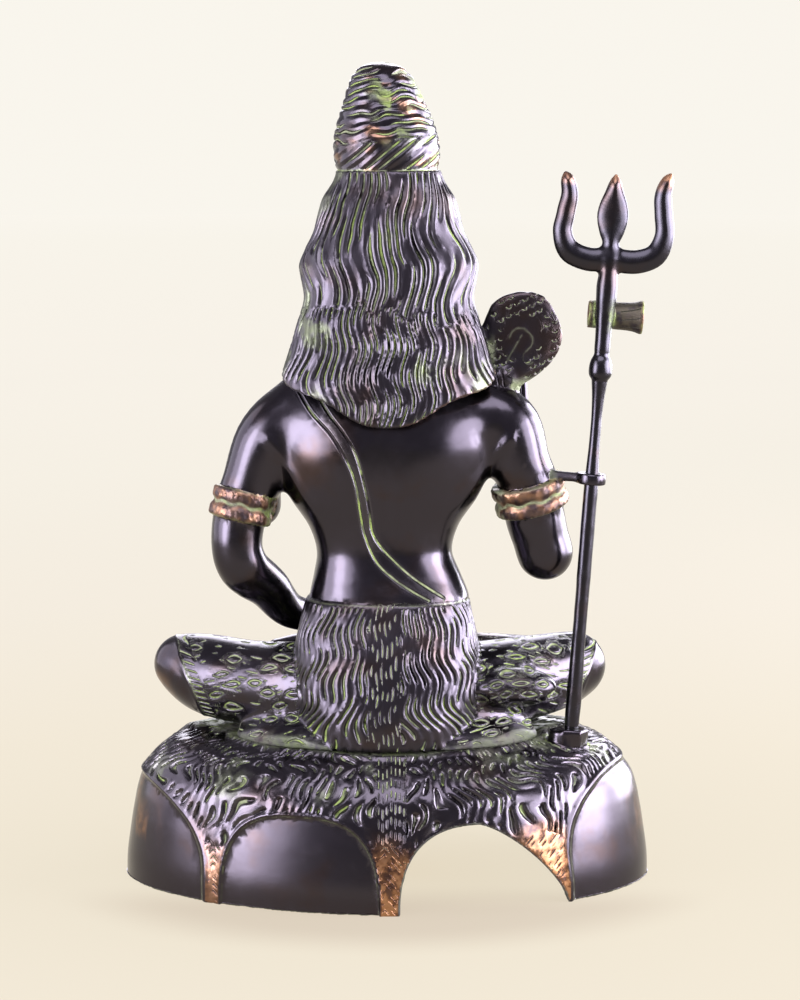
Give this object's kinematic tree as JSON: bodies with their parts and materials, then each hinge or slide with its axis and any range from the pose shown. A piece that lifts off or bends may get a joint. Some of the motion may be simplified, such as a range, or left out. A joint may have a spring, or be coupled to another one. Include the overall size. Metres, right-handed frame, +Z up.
{
  "type": "shiva figure",
  "caption": "Seated Shiva in dark cast brass on a hollow rock draped with a tiger skin, cobra hood at the shoulder, with a lift-out trident in a ring and socket.",
  "frame": {"origin": "on the ground under the middle of the whole statue's box", "axes": "+Z up, the figure faces -Y, its right hand and the trident are on the -X side"},
  "size_m": [0.3064, 0.201, 0.4573],
  "materials": {
    "base_bronze": "dark patina, polished panels, green in the cuts, copper where worn",
    "figure_bronze": "dark polished patina with green in the cuts",
    "trident_bronze": "dark polished patina with worn copper tips"
  },
  "bodies": {
    "root": {"rock_base": "base_bronze", "shiva_figure": "figure_bronze", "trident": "trident_bronze"}
  },
  "joints": []
}
